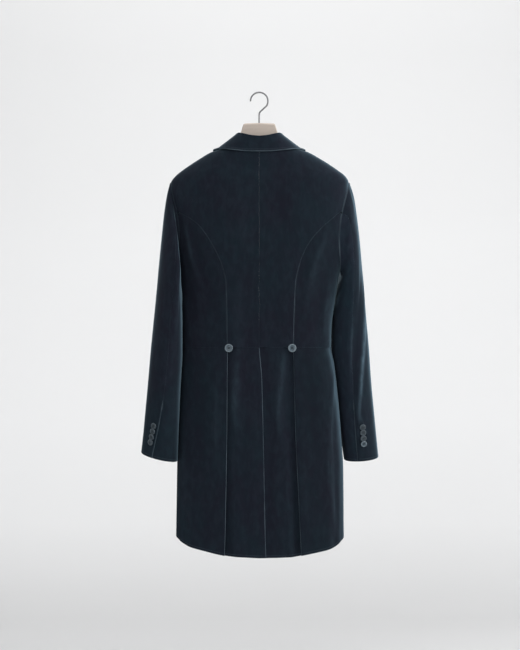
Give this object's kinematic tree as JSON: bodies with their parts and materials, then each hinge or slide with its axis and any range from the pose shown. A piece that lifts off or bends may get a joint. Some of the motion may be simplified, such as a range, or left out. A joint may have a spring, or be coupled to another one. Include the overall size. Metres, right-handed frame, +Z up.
{
  "type": "morning coat on a hanger",
  "caption": "Long tailored velvet coat with cutaway front, pleated skirts, centre back vent and buttoned cuffs, hanging on a wooden hanger with a steel hook.",
  "frame": {"origin": "where a rail touches the inside top of the hanger's hook", "axes": "+Z up; the coat's back faces -Y and its front +Y; +X is the wearer's right side"},
  "size_m": [0.5708, 0.1946, 1.1177],
  "materials": {
    "velvet": "dark teal-navy cotton velvet, short pile, brighter at glancing angles",
    "button": "satin blue-grey horn-like",
    "hanger_wood": "pale greige wood, satin",
    "hook_steel": "bright steel wire"
  },
  "bodies": {
    "root": {"back_left": "velvet", "back_right": "velvet", "side_body_left": "velvet", "side_body_right": "velvet", "front_left": "velvet", "front_right": "velvet", "lapel_left": "velvet", "lapel_right": "velvet", "collar": "velvet", "sleeve_upper_left": "velvet", "sleeve_upper_right": "velvet", "sleeve_under_left": "velvet", "sleeve_under_right": "velvet", "side_skirt_left": "velvet", "side_skirt_right": "velvet", "back_skirt_left": "velvet", "back_skirt_right": "velvet", "waist_button_left": "button", "waist_button_right": "button", "front_button": "button", "cuff_button_left_1": "button", "cuff_button_left_2": "button", "cuff_button_left_3": "button", "cuff_button_left_4": "button", "cuff_button_right_1": "button", "cuff_button_right_2": "button", "cuff_button_right_3": "button", "cuff_button_right_4": "button", "hanger_body": "hanger_wood", "hanger_hook": "hook_steel"}
  },
  "joints": []
}
